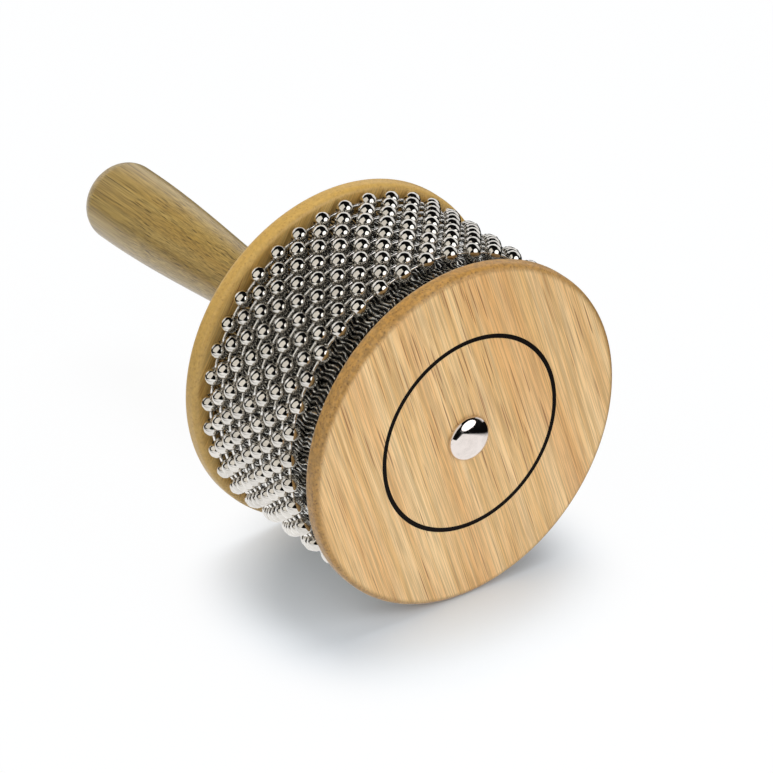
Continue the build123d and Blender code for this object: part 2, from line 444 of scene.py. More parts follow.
@dataclass(frozen=True, kw_only=True)
class DiscFinish(WoodFinish):
    """A lacquered board cut to a disc, whose rim shows darker, dotted end grain."""

    radius: float
    axis_height: float
    edge_round: float
    rim: Colour = shade(160, 118, 54)
    dot: Colour = shade(98, 62, 22)
    rim_reach: tuple[float, float] = (1.3, 0.25)
    rim_share: float = 0.9
    dot_spacing: float = 1.25
    dot_edge: tuple[float, float] = (0.12, 0.38)
    dot_share: float = 0.7
    mottle_range: tuple[float, float] = (0.3, 0.7)
    mottle: tuple[float, float] = (0.66, 1.22)

    def colour(self, surface: Surface, effects: SharedEffects) -> Socket:
        """Lay the grain, and the end grain that shows on the rim.

        Args:
            surface: The material in the making.
            effects: The shared shader groups.

        Returns:
            The colour of the bare board.
        """
        graph = surface.graph
        wood = super().colour(surface, effects)
        x, _, z = graph.separate(surface.coordinates)
        out = graph.length(graph.combine(x, 0.0, graph.math("SUBTRACT", z, self.axis_height)))
        inner, outer = (self.radius - share * self.edge_round for share in self.rim_reach)
        on_rim = graph.fade(out, inner, outer)
        dots_place = graph.vector("DIVIDE", surface.placed(), (self.dot_spacing,) * 3)
        dots = graph.node("ShaderNodeTexVoronoi", {"Vector": dots_place, "Scale": 1.0})
        dark = graph.fade(dots.outputs["Distance"], *self.dot_edge, self.dot_share, 0.0)
        dotted = graph.blend(dark, self.rim, self.dot)
        clouds = graph.noise(dots_place, detail=3.0)
        mottled = graph.darken(dotted, graph.fade(clouds, *self.mottle_range, *self.mottle))
        return graph.blend(graph.math("MULTIPLY", on_rim, self.rim_share), wood, mottled)


@dataclass(frozen=True)
class MetalFinish(Finish):
    """A bare or plated metal with handling marks."""

    bright: Colour
    dull: Colour
    roughness: tuple[float, float]
    smudge_size: float = 6.0
    scratch_size: tuple[float, float, float] = (2.4, 0.3, 0.5)
    scratch_depth: float = 0.004 * MM
    smudge_wear: float = 0.7
    turn: tuple[float, float, float] = (0.0, 0.0, 0.0)
    tone_and_painted_shade: str = ""
    tone_and_painted_shade_range: tuple[float, float] = (0.9, 1.0)

    def lay(self, surface: Surface, effects: SharedEffects) -> None:
        """Colour the metal, and let its marks make it rougher.

        Args:
            surface: The material in the making.
            effects: The shared shader groups.
        """
        graph = surface.graph
        inputs = {
            "Coordinates": surface.placed(self.turn),
            "Smudge Size": self.smudge_size,
            "Scratch Size": self.scratch_size,
        }
        marks = surface.use(effects.marks, inputs)
        smudged = graph.math("MULTIPLY", marks["Smudges"], self.smudge_wear)
        worn = graph.math("MAXIMUM", smudged, marks["Scratches"])
        colour = graph.blend(marks["Smudges"], self.bright, self.dull)
        # Painted shade and tone: a stored attribute darkens the colour, at random from bead to bead, and
        # towards black in the sleeve's grooves.
        if self.tone_and_painted_shade:
            own = graph.node("ShaderNodeAttribute", attribute_name=self.tone_and_painted_shade).outputs["Fac"]
            colour = graph.darken(colour, graph.fade(own, 0.0, 1.0, *self.tone_and_painted_shade_range))
        surface.set(Base_Color=colour, Metallic=1.0)
        surface.set(Roughness=graph.fade(worn, 0.0, 1.0, *self.roughness))
        surface.bump(marks["Height"], self.scratch_depth)


@dataclass(frozen=True)
class InkFinish(Finish):
    """Black printing ink that has sunk a little into the wood."""

    ink: Colour
    thin: Colour
    fleck_size: float = 0.7
    streak_size: tuple[float, float, float] = (2.0, 2.0, 0.4)
    roughness: tuple[float, float] = (0.45, 0.6)
    gloss: float = 0.05

    def lay(self, surface: Surface, effects: SharedEffects) -> None:
        """Colour the ink, with thinner flecks in it.

        Args:
            surface: The material in the making.
            effects: The shared shader groups.
        """
        graph = surface.graph
        inputs = {
            "Coordinates": surface.placed(),
            "Smudge Size": self.fleck_size,
            "Scratch Size": self.streak_size,
        }
        marks = surface.use(effects.marks, inputs)
        surface.set(Base_Color=graph.blend(marks["Smudges"], self.ink, self.thin))
        surface.set(Roughness=graph.fade(marks["Smudges"], 0.0, 1.0, *self.roughness))
        surface.set(Specular_IOR_Level=self.gloss)


class Finishes:
    """Every finish on the object, built once."""

    def __init__(self, effects: SharedEffects) -> None:
        """Build the materials from their finishes."""
        honey = {"pale": shade(252, 214, 155), "tan": shade(234, 186, 117), "amber": shade(232, 170, 95)}
        straw = {"pale": shade(178, 151, 86), "tan": shade(162, 132, 66), "amber": shade(162, 127, 63)}
        pore = shade(150, 92, 42)
        along_drum = (0.0, 0.0, -90.0)
        radius, axis_height = turned_size(*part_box("front_disc"))
        board = {
            "radius": radius,
            "axis_height": axis_height,
            "edge_round": WoodenDisc.edge_round,
            "pore": pore,
        }
        self.front_board = DiscFinish(
            "Front board", **honey, **board, turn=(0.0, 108.0, 0.0)
        ).material(effects)
        self.back_board = DiscFinish(
            "Back board",
            **board,
            pale=shade(240, 202, 128),
            tan=shade(220, 177, 99),
            amber=shade(222, 172, 90),
            rim=shade(186, 149, 76),
            dot=shade(160, 122, 58),
            mottle=(0.88, 1.06),
            turn=(0.0, 60.0, 0.0),
            shift=(40.0, 11.0, 23.0),
        ).material(effects)
        self.handle_wood = WoodFinish(
            "Handle wood",
            **straw,
            pore=shade(66, 44, 14),
            turn=along_drum,
            shift=(15.0, 4.0, 31.0),
            band_width=3.0,
            fibre_width=0.3,
            pore_width=0.46,
            pore_length=34.0,
            pore_share=1.0,
            fibre_share=0.46,
            coat=0.6,
        ).material(effects)
        self.core_wood = WoodFinish(
            "Core wood", **straw, pore=pore, turn=along_drum, band_width=7.0, coat=0.0, roughness=(0.6, 0.8)
        ).material(effects)
        self.dowel_wood = WoodFinish(
            "Dowel wood", **honey, pore=pore, turn=along_drum, band_width=2.0, coat=0.0, roughness=(0.6, 0.8)
        ).material(effects)
        nickel = {"bright": (0.80, 0.77, 0.72, 1.0), "dull": (0.70, 0.67, 0.62, 1.0)}
        self.bead_nickel = MetalFinish(
            "Bead nickel", **nickel, roughness=(0.05, 0.13), smudge_size=3.0, tone_and_painted_shade=BallChain.SHADE
        ).material(effects)
        self.link_nickel = MetalFinish(
            "Link nickel", bright=(0.95, 0.93, 0.9, 1.0), dull=(0.86, 0.84, 0.8, 1.0), roughness=(0.14, 0.26)
        ).material(effects)
        # The sleeve's colour carries painted shade, almost black in its grooves.
        self.sleeve_steel = MetalFinish(
            "Sleeve steel",
            bright=(0.96, 0.96, 0.93, 1.0),
            dull=(0.8, 0.8, 0.77, 1.0),
            roughness=(0.07, 0.15),
            smudge_size=2.5,
            scratch_size=(3.0, 1.5, 1.5),
            scratch_depth=0.05 * MM,
            turn=along_drum,
            tone_and_painted_shade=RibbedSleeve.PAINTED_SHADE,
            tone_and_painted_shade_range=(0.01, 1.0),
        ).material(effects)
        self.nail_steel = MetalFinish(
            "Nail steel", bright=(0.6, 0.6, 0.6, 1.0), dull=(0.45, 0.44, 0.42, 1.0), roughness=(0.25, 0.4)
        ).material(effects)
        self.bolt_chrome = MetalFinish(
            "Bolt chrome",
            bright=(0.84, 0.77, 0.73, 1.0),
            dull=(0.76, 0.69, 0.65, 1.0),
            roughness=(0.06, 0.16),
            smudge_size=4.0,
        ).material(effects)
        self.insert_brass = MetalFinish(
            "Insert brass", bright=(0.83, 0.62, 0.28, 1.0), dull=(0.65, 0.46, 0.2, 1.0), roughness=(0.2, 0.4)
        ).material(effects)
        self.ring_ink = InkFinish("Ring ink", ink=shade(9, 6, 5), thin=shade(22, 15, 12)).material(effects)


def show(name: str, mesh: bpy.types.Mesh) -> bpy.types.Object:
    """Put a mesh in the scene as an object at the origin."""
    made = bpy.data.objects.new(name, mesh)
    bpy.context.scene.collection.objects.link(made)
    return made


def plain_mesh(shape: bpy.types.Object) -> bpy.types.Mesh:
    """Turn an object with live modifiers into a plain mesh.

    Args:
        shape: The object, whose modifiers are taken off.

    Returns:
        The mesh that the modifiers made, which the object then holds.
    """
    depsgraph = bpy.context.evaluated_depsgraph_get()
    mesh = bpy.data.meshes.new_from_object(
        shape.evaluated_get(depsgraph), preserve_all_data_layers=True, depsgraph=depsgraph
    )
    shape.modifiers.clear()
    shape.data = mesh
    mesh.name = shape.name
    return mesh


def grow(shape: bpy.types.Object, group: Group, values: Mapping[str, Any]) -> None:
    """Give an object its shape with a group of geometry nodes, and make the result plain.

    Args:
        shape: The object.
        group: The group that makes the shape.
        values: A value for each of the group's inputs, by name.
    """
    modifier = shape.modifiers.new(group.tree.name, "NODES")
    modifier.node_group = group.tree
    for name, value in values.items():
        modifier[group.identifiers[name]] = value
    mesh = plain_mesh(shape)
    # Realizing instances leaves an empty slot ahead of the materials that are set.
    for index in reversed(range(len(mesh.materials))):
        if mesh.materials[index] is None:
            mesh.materials.pop(index=index)


def arc(centre: Point, radius: float, start: float, end: float, steps: int = 8) -> list[Point]:
    """List points on an arc.

    Args:
        centre: The arc's centre, as place along the drum and distance from its axis.
        radius: The arc's radius.
        start: Where it begins, in degrees from the direction along the drum.
        end: Where it ends, in degrees.
        steps: How many straight pieces it has.

    Returns:
        The points from the beginning to the end.
    """
    angles = [math.radians(start + (end - start) * step / steps) for step in range(steps + 1)]
    return [(centre[0] + radius * math.cos(a), centre[1] + radius * math.sin(a)) for a in angles]


def turned_size(low: Vector, high: Vector) -> tuple[float, float]:
    """Give a turned piece's radius and the height of its axis, from the corners of its box."""
    return (high.x - low.x) / 2, (low.z + high.z) / 2


def turned(name: str, outline: Sequence[Point], height: float, segments: int = 192) -> bpy.types.Mesh:
    """Turn a closed outline round the drum's axis, as on a lathe.

    Args:
        name: What the mesh is called.
        outline: Points as place along the drum and distance from its axis.
        height: How high the axis lies.
        segments: How many steps the turn has.

    Returns:
        A closed mesh with smooth sides and crisp corners.
    """
    shape = bmesh.new()
    rings = []
    for along, radius in outline:
        if radius < ON_AXIS:
            rings.append([shape.verts.new((0, along, height))] * segments)
            continue
        ring = []
        for step in range(segments):
            angle = FULL_TURN * step / segments
            place = (radius * math.cos(angle), along, height + radius * math.sin(angle))
            ring.append(shape.verts.new(place))
        rings.append(ring)
    for first, second in zip(rings, rings[1:] + rings[:1]):
        for step in range(segments):
            following = (step + 1) % segments
            corners = [first[step], first[following], second[following], second[step]]
            distinct = list(dict.fromkeys(corners))
            if len(distinct) > 2:
                shape.faces.new(distinct)
    bmesh.ops.recalc_face_normals(shape, faces=shape.faces)
    mesh = bpy.data.meshes.new(name)
    shape.to_mesh(mesh)
    shape.free()
    mesh.shade_smooth()
    mesh.set_sharp_from_angle(angle=CRISP_ANGLE)
    return mesh


@dataclass
class Piece:
    """What every dressed piece says about itself."""

    name: str
    body: str
    slot: str
    nodes: tuple[str, ...]

    def settle(
        self, shape: bpy.types.Object, material: bpy.types.Material | None = None
    ) -> bpy.types.Object:
        """Dress a shape, let it ride on its body and let it stand for its nodes.

        Args:
            shape: The finished shape.
            material: Its finish, unless the shape already has one.

        Returns:
            The same shape.
        """
        if material is not None:
            shape.data.materials.clear()
            shape.data.materials.append(material)
        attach(shape, self.body)
        if self.nodes:
            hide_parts(*self.nodes)
        log.info("%s rides on %s, %d faces", self.name, self.body, len(shape.data.polygons))
        return shape


@dataclass
class WoodenDisc:
    """A round board with softly rounded edges and a bore for the bolt."""

    node: str
    finish: bpy.types.Material
    edge_round: float = 2.1 * MM
    bore_radius: float = 3.25 * MM
    bore_chamfer: float = 0.3 * MM

    def build(self) -> bpy.types.Object:
        """Turn the disc from the box of its node and dress it."""
        low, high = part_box(self.node)
        radius, axis_height = turned_size(low, high)
        name = f"{self.node}_board"
        shape = show(name, turned(name, self.outline(low.y, high.y, radius), axis_height))
        return Piece(name, "drum", "disc_wood", (self.node,)).settle(shape, self.finish)

    def outline(self, front: float, back: float, radius: float) -> list[Point]:
        """Draw half of the disc's section.

        Args:
            front: Where its front face lies along the drum.
            back: Where its back face lies.
            radius: The disc's radius.

        Returns:
            The closed outline.
        """
        edge, inner = self.edge_round, radius - self.edge_round
        bore, cut = self.bore_radius, self.bore_chamfer
        outline = [(front, bore + cut)]
        outline += arc((front + edge, inner), edge, 180, 90)
        outline += arc((back - edge, inner), edge, 90, 0)
        outline += [(back, bore + cut), (back - cut, bore), (front + cut, bore)]
        return outline


@dataclass
class PrintedRing:
    """A plain black ring that is printed on the front face, a little off its centre."""

    finish: bpy.types.Material
    radius: float = 34.1 * MM
    width: float = 1.56 * MM
    thickness: float = 0.03 * MM
    aside: float = 0.93 * MM
    above: float = 1.21 * MM

    def build(self) -> bpy.types.Object:
        """Lay the ring on the front face and dress it."""
        low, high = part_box("front_disc")
        # The disc stands on the floor, so its axis lies at half its height.
        axis_height = (high.z - low.z) / 2
        inner, outer = self.radius - self.width / 2, self.radius + self.width / 2
        front, back = low.y - self.thickness, low.y + self.thickness
        outline = [(front, inner), (front, outer), (back, outer), (back, inner)]
        mesh = turned("printed_ring", outline, axis_height)
        for vertex in mesh.vertices:
            vertex.co += Vector((self.aside, 0, self.above))
        shape = show("printed_ring", mesh)
        return Piece(shape.name, "drum", "disc_wood", ()).settle(shape, self.finish)


@dataclass
class DomedBolt:
    """A bolt with a domed head, a square neck and a shank that ends in the handle."""

    finish: bpy.types.Material
    head_height: float = 3.6 * MM
    head_edge: float = 0.5 * MM
    head_chamfer: float = 0.12 * MM
    neck_width: float = 6.0 * MM
    neck_length: float = 4.2 * MM
    shank_radius: float = 3.0 * MM
    tip_chamfer: float = 0.8 * MM
    dome_steps: int = 18
    segments: int = 96

    def build(self) -> bpy.types.Object:
        """Turn the bolt, put the square neck on it and dress it."""
        low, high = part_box("tie_bolt")
        radius, axis_height = turned_size(low, high)
        mesh = turned("domed_bolt", self.outline(low.y, high.y, radius), axis_height, self.segments)
        neck_middle = low.y + self.head_height + self.neck_length / 2
        self.add_neck(mesh, Vector((0, neck_middle, axis_height)))
        shape = show("domed_bolt", mesh)
        return Piece(shape.name, "drum", "bolt_chrome", ("tie_bolt",)).settle(shape, self.finish)

    def outline(self, top: float, tip: float, head_radius: float) -> list[Point]:
        """Draw half of the bolt's section.

        Args:
            top: Where the top of the dome lies along the drum.
            tip: Where the shank ends.
            head_radius: The head's radius.

        Returns:
            The closed outline, which begins and ends on the axis.
        """
        rise = self.head_height - self.head_edge
        face, soft = top + self.head_height, self.head_chamfer
        turns = [math.pi / 2 * step / self.dome_steps for step in range(self.dome_steps + 1)]
        outline = [(top + rise * (1 - math.cos(turn)), head_radius * math.sin(turn)) for turn in turns]
        outline += [(face - soft, head_radius), (face, head_radius - soft), (face, self.shank_radius)]
        cut = self.tip_chamfer
        outline += [(tip - cut, self.shank_radius), (tip, self.shank_radius - cut), (tip, 0.0)]
        return outline

    def add_neck(self, mesh: bpy.types.Mesh, middle: Vector) -> None:
        """Add the square neck to the bolt's mesh.

        Args:
            mesh: The bolt's mesh.
            middle: The middle of the neck.
        """
        shape = bmesh.new()
        shape.from_mesh(mesh)
        made = bmesh.ops.create_cube(shape, size=1.0)["verts"]
        size = Vector((self.neck_width, self.neck_length, self.neck_width))
        for vertex in made:
            vertex.co = middle + vertex.co * size
        shape.to_mesh(mesh)
        shape.free()
        mesh.set_sharp_from_angle(angle=CRISP_ANGLE)


@dataclass
class TurnedHandle:
    """A handle turned from one piece: a straight neck that swells to a rounded grip."""

    finish: bpy.types.Material
    neck_radius: float = 9.0 * MM
    neck_straight: float = 15.0 * MM
    widest_from_end: float = 13.8 * MM
    end_round: float = 8.0 * MM
    end_crown: float = 0.8 * MM
    insert_radius: float = 5.03 * MM
    insert_depth: float = 20.03 * MM
    flange_radius: float = 6.53 * MM
    flange_depth: float = 1.23 * MM
    tip_bore_radius: float = 3.25 * MM
    tip_bore_depth: float = 26.0 * MM
    swell_steps: int = 40
    end_steps: int = 16
    crown_steps: int = 8
    segments: int = 128

    def build(self) -> bpy.types.Object:
        """Turn the handle from the box of its node and dress it."""
        low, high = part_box("handle")
        radius, axis_height = turned_size(low, high)
        outline = self.bore(low.y) + self.outside(low.y, high.y, radius)
        mesh = turned("turned_handle", outline, axis_height, self.segments)
        shape = show("turned_handle", mesh)
        return Piece(shape.name, "drum", "handle_wood", ("handle",)).settle(shape, self.finish)

    def bore(self, start: float) -> list[Point]:
        """Draw the bore for the insert and the bolt's end, from its bottom to its mouth."""
        return [
            (start + self.tip_bore_depth, 0.0),
            (start + self.tip_bore_depth, self.tip_bore_radius),
            (start + self.insert_depth, self.tip_bore_radius),
            (start + self.insert_depth, self.insert_radius),
            (start + self.flange_depth, self.insert_radius),
            (start + self.flange_depth, self.flange_radius),
            (start, self.flange_radius),
        ]

    def outside(self, start: float, tip: float, grip_radius: float) -> list[Point]:
        """Draw the outside, from the neck to the tip.

        Args:
            start: Where the neck meets the back disc.
            tip: Where the handle ends.
            grip_radius: The grip's radius where it is widest.

        Returns:
            The points from the neck's end to the tip on the axis.
        """
        swell_start = start + self.neck_straight
        swell_end = tip - self.widest_from_end
        points = [(start, self.neck_radius)]
        for step in range(self.swell_steps + 1):
            share = step / self.swell_steps
            rise = share * share * (3 - 2 * share)
            along = swell_start + (swell_end - swell_start) * share
            points.append((along, self.neck_radius + (grip_radius - self.neck_radius) * rise))
        crown_radius = (grip_radius**2 + self.end_crown**2) / (2 * self.end_crown)
        crown_centre = tip - crown_radius
        corner_height = grip_radius - self.end_round
        reach = math.sqrt((crown_radius - self.end_round) ** 2 - corner_height**2)
        corner = (crown_centre + reach, corner_height)
        end_angle = math.degrees(math.atan2(corner_height, reach))
        points += arc(corner, self.end_round, 90, end_angle, self.end_steps)
        points += arc((crown_centre, 0.0), crown_radius, end_angle, 0, self.crown_steps)[1:-1]
        points.append((tip, 0.0))
        return points


@dataclass
class RibbedSleeve:
    """A sheet of steel rolled round the core, with crimped ribs, an open seam on its underside and painted
    shade in its grooves.
    """

    finish: bpy.types.Material
    ribs: int = 200
    columns: int = 4
    rows: int = 55
    rib_height: float = 0.8 * MM
    sheet_thickness: float = 0.7 * MM
    seam_gap: float = 0.4 * MM
    seam_land: float = 9.0 * MM
    crimp_length: float = 3.3 * MM
    crimp_shift: float = 1.3 * MM
    unevenness: float = 1.0 * MM
    rib_flank: tuple[float, float] = (0.2, 0.8)
    painted_shade_flank: tuple[float, float] = (0.25, 0.95)
    kink_rate: tuple[float, float, float] = (0.35, 0.4, 1.0)
    kink_lag: float = 3.0
    wander_rate: tuple[float, float, float] = (0.7, 1.0, 2.0)
    dent_rate: tuple[float, float, float] = (1.1, 1.2, 3.0)
    dent_range: tuple[float, float] = (0.36, 0.6)
    dented_height: float = 0.4

    # The stored painted shade: 0 in the grooves, 1 on the crests and the seam land.
    PAINTED_SHADE = "rib_painted_shade"

    def build(self) -> bpy.types.Object:
        """Grow the sleeve, give it its thickness and dress it."""
        low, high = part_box("ribbed_sleeve")
        top_radius, _ = turned_size(low, high)
        _, axis_height = turned_size(*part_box("front_disc"))
        shape = show("ribbed_sleeve_steel", bpy.data.meshes.new("ribbed_sleeve_steel"))
        values = {
            "Sheet Radius": top_radius - self.rib_height,
            "Length": high.y - low.y,
            "Middle": (0.0, (low.y + high.y) / 2, axis_height),
            "Columns": self.ribs * self.columns + 1,
            "Rows": self.rows,
            "Ribs": float(self.ribs),
            "Rib Height": self.rib_height,
            "Seam Gap": self.seam_gap,
            "Seam Land": self.seam_land,
            "Crimp Length": self.crimp_length,
            "Crimp Shift": self.crimp_shift,
            "Unevenness": self.unevenness,
            "Steel": self.finish,
        }
        grow(shape, self.group(), values)
        solid = shape.modifiers.new("thickness", "SOLIDIFY")
        solid.thickness = self.sheet_thickness
        solid.offset = -1.0
        # The inner skin leans with the slopes of the ribs, so its ends are brought back to the sheet's own.
        for vertex in plain_mesh(shape).vertices:
            vertex.co.y = min(max(vertex.co.y, low.y), high.y)
        return Piece(shape.name, "drum", "sleeve_steel", ("ribbed_sleeve",)).settle(shape)

    def group(self) -> Group:
        """Build the nodes that roll a grid into a ribbed sleeve."""
        takes = ports(SocketKind.COUNT, "Columns", "Rows") + ports(SocketKind.VECTOR, "Middle")
        takes += ports(SocketKind.VALUE, "Sheet Radius", "Length", "Ribs", "Rib Height", "Seam Gap")
        takes += ports(SocketKind.VALUE, "Seam Land", "Crimp Length", "Crimp Shift", "Unevenness")
        takes += ports(SocketKind.MATERIAL, "Steel")
        group = Group("Ribbed sleeve", TreeKind.GEOMETRY, takes, ports(SocketKind.SHAPE, "Geometry"))
        graph, given = group.graph, group.given
        sheet = graph.node(
            "GeometryNodeMeshGrid",
            {"Size X": 1.0, "Size Y": 1.0, "Vertices X": given["Columns"], "Vertices Y": given["Rows"]},
        )
        around, along, _ = graph.separate(sheet.outputs["UV Map"])
        radius = given["Sheet Radius"]
        half_girth = graph.math("MULTIPLY", radius, math.pi)
        from_top = graph.math("MULTIPLY", graph.math("SUBTRACT", around, 0.5), 2.0)
        half_sheet = graph.math("SUBTRACT", half_girth, graph.math("MULTIPLY", given["Seam Gap"], 0.5))
        girth = graph.math("MULTIPLY", from_top, half_sheet)
        place = graph.math("MULTIPLY", graph.math("SUBTRACT", along, 0.5), given["Length"])

        phase = graph.math("MULTIPLY", around, given["Ribs"])
        wave = graph.math("MULTIPLY", graph.math("PINGPONG", phase, 0.5), 2.0)
        rib = graph.fade(wave, *self.rib_flank)
        off_seam = graph.math("SUBTRACT", half_girth, graph.math("ABSOLUTE", girth))
        land = graph.math("MULTIPLY", given["Seam Land"], 0.5)
        ribbed = graph.math("GREATER_THAN", off_seam, land)

        crimps = graph.math("DIVIDE", place, given["Crimp Length"])
        spot = graph.combine(phase, crimps, float(SEED))
        late = graph.noise(graph.vector("MULTIPLY", spot, self.kink_rate), detail=1.0)
        kinked = graph.math("MULTIPLY_ADD", late, self.kink_lag, crimps)
        zigzag = graph.math("PINGPONG", kinked, 1.0)
        aside = graph.noise(graph.vector("MULTIPLY", spot, self.wander_rate), detail=1.0)
        uneven = graph.math("SUBTRACT", aside, 0.5)
        crimp = graph.math("MULTIPLY", graph.math("SUBTRACT", zigzag, 0.5), given["Crimp Shift"])
        wander = graph.math("MULTIPLY", uneven, given["Unevenness"])
        eased = graph.fade(off_seam, land, given["Seam Land"])
        shifted = graph.math("MULTIPLY", graph.math("ADD", crimp, wander), eased)
        pressed = graph.noise(graph.vector("MULTIPLY", spot, self.dent_rate), detail=1.0)
        dents = graph.fade(pressed, *self.dent_range, self.dented_height, 1.0)

        crest = graph.math("MULTIPLY", graph.math("MULTIPLY", rib, dents), ribbed)
        # Painted shade: the grooves and lower flanks are stored darker for the steel's colour, while the
        # crests and the seam land stay full.
        bright = graph.fade(wave, *self.painted_shade_flank)
        bare = graph.math("MAXIMUM", bright, graph.math("SUBTRACT", 1.0, ribbed))
        reach = graph.math("ADD", radius, graph.math("MULTIPLY", crest, given["Rib Height"]))
        angle = graph.math("DIVIDE", graph.math("ADD", girth, shifted), radius)
        x = graph.math("MULTIPLY", graph.math("SINE", angle), reach)
        z = graph.math("MULTIPLY", graph.math("COSINE", angle), reach)
        rolled = graph.vector("ADD", graph.combine(x, place, z), given["Middle"])
        marked = graph.node(
            "GeometryNodeStoreNamedAttribute",
            {"Geometry": sheet.outputs["Mesh"], "Name": self.PAINTED_SHADE, "Value": bare},
            data_type="FLOAT",
            domain="POINT",
        )
        placed = graph.node("GeometryNodeSetPosition", {"Geometry": marked.outputs[0], "Position": rolled})
        smooth = graph.node("GeometryNodeSetShadeSmooth", {"Geometry": placed.outputs[0]})
        whole = graph.node("GeometryNodeRealizeInstances", {"Geometry": smooth.outputs[0]})
        inputs = {"Geometry": whole.outputs[0], "Material": given["Steel"]}
        group.give("Geometry", graph.node("GeometryNodeSetMaterial", inputs).outputs[0])
        return group


@dataclass
class BallChain:
    """Loops of ball chain: beads with sunk holes, and a rod from each bead to the next.

    A bead has few faces, which lie inside the true ball, so it is drawn a little fuller.
    """

    bead_finish: bpy.types.Material
    link_finish: bpy.types.Material
    beads: int = 38
    loop_radius: float = 56.1 * MM
    first_angle: float = 6.85
    hole_radius: float = 0.95 * MM
    hole_depth: float = 0.55 * MM
    link_radius: float = 0.55 * MM
    slack: tuple[float, float, float] = (0.1 * MM, 0.1 * MM, 0.15 * MM)
    fullness: float = 1.05
    segments: int = 12
    rings: int = 9
    link_sides: int = 8
    pole_reach: float = 0.985
    hole_reach: float = 0.868

    SHADE = "bead_shade"

    def build(self) -> list[bpy.types.Object]:
        """Grow one loop of chain for each turning body."""
        group = self.group()
        return [self.loop(group, index, joint) for index, joint in enumerate(frame["joints"])]

    def loop(self, group: Group, index: int, joint: Mapping[str, Any]) -> bpy.types.Object:
        """Grow one loop and dress it.

        Args:
            group: The nodes that make a loop.
            index: The loop's number from the front, from 0.
            joint: The joint that it turns on.

        Returns:
            The finished loop.
        """
        number = index + 1
        bead_node, link_node = f"bead_loop_{number}", f"link_loop_{number}"
        low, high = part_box(bead_node)
        half_step = 180 / self.beads
        angle = self.first_angle + half_step * (index % 2)
        shape = show(f"ball_chain_{number}", bpy.data.meshes.new(f"ball_chain_{number}"))
        values = {
            "Beads": self.beads,
            "Loop Radius": self.loop_radius,
            "Middle": tuple(joint["pos_m"]),
            "Start Angle": math.radians(angle),
            "Bead Radius": self.fullness * (high.y - low.y) / 2,
            "Hole Radius": self.hole_radius,
            "Hole Depth": self.hole_depth,
            "Link Radius": self.link_radius,
            "Link Length": 2 * self.loop_radius * math.sin(math.radians(half_step)),
            "Slack": self.slack,
            "Seed": SEED + number,
            "Bead Metal": self.bead_finish,
            "Link Metal": self.link_finish,
        }
        grow(shape, group, values)
        return Piece(shape.name, joint["child"], "bead_steel", (bead_node, link_node)).settle(shape)

    def group(self) -> Group:
        """Build the nodes that string beads and links on a ring."""
        takes = ports(SocketKind.COUNT, "Beads", "Seed") + ports(SocketKind.VECTOR, "Middle", "Slack")
        takes += ports(SocketKind.VALUE, "Loop Radius", "Start Angle", "Bead Radius", "Hole Radius")
        takes += ports(SocketKind.VALUE, "Hole Depth", "Link Radius", "Link Length")
        takes += ports(SocketKind.MATERIAL, "Bead Metal", "Link Metal")
        group = Group("Ball chain loop", TreeKind.GEOMETRY, takes, ports(SocketKind.SHAPE, "Geometry"))
        graph, given = group.graph, group.given
        inputs = {"Vertices": given["Beads"], "Radius": given["Loop Radius"]}
        ring = graph.node("GeometryNodeMeshCircle", inputs)
        play = graph.node("FunctionNodeRandomValue", {"Seed": given["Seed"]}, data_type="FLOAT_VECTOR")
        graph.feed(play.inputs[0], graph.vector("MULTIPLY", given["Slack"], (-1.0, -1.0, -1.0)))
        graph.feed(play.inputs[1], given["Slack"])
        inputs = {"Geometry": ring.outputs[0], "Offset": play.outputs[0]}
        points = graph.node("GeometryNodeSetPosition", inputs).outputs[0]
        position = graph.node("GeometryNodeInputPosition").outputs[0]
        tangent = graph.vector("CROSS_PRODUCT", (0.0, 0.0, 1.0), position)
        beads = self.strung(graph, points, self.bead(graph, given), tangent)
        tone = graph.node("FunctionNodeRandomValue", {"Seed": given["Seed"]}, data_type="FLOAT")
        shaded = graph.node(
            "GeometryNodeStoreNamedAttribute",
            {"Geometry": beads, "Name": self.SHADE, "Value": tone.outputs[1]},
            data_type="FLOAT",
            domain="INSTANCE",
        )
        index = graph.node("GeometryNodeInputIndex").outputs[0]
        following = graph.math("MODULO", graph.math("ADD", index, 1.0), given["Beads"])
        next_bead = graph.node(
            "GeometryNodeFieldAtIndex", {"Index": following}, data_type="FLOAT_VECTOR", domain="POINT"
        )
        graph.feed(next_bead.inputs["Value"], position)
        towards = graph.vector("SUBTRACT", next_bead.outputs[0], position)
        links = self.strung(graph, points, self.link(graph, given), towards)
        joined = graph.node("GeometryNodeJoinGeometry")
        for shapes, metal in ((shaded.outputs[0], "Bead Metal"), (links, "Link Metal")):
            graph.feed(joined.inputs[0], self.dressed(graph, given, shapes, metal))
        group.give("Geometry", joined.outputs[0])
        return group

    def dressed(self, graph: Graph, given: Any, shapes: Socket, metal: str) -> Socket:
        """Turn strung shapes upright, put them in their place, make them plain and dress them.

        Args:
            graph: The nodes to add to.
            given: The group's inputs.
            shapes: The shapes on the loop's points.
            metal: The input that names their finish.

        Returns:
            The shapes as one dressed mesh.
        """
        turn = graph.node("GeometryNodeTransform", {"Geometry": shapes})
        graph.feed(turn.inputs["Rotation"], graph.combine(0.0, 0.0, given["Start Angle"]))
        upright = graph.node("GeometryNodeTransform", {"Geometry": turn.outputs[0]})
        upright.inputs["Rotation"].default_value = (math.pi / 2, 0.0, 0.0)
        graph.feed(upright.inputs["Translation"], given["Middle"])
        whole = graph.node("GeometryNodeRealizeInstances", {"Geometry": upright.outputs[0]})
        inputs = {"Geometry": whole.outputs[0], "Material": given[metal]}
        return graph.node("GeometryNodeSetMaterial", inputs).outputs[0]

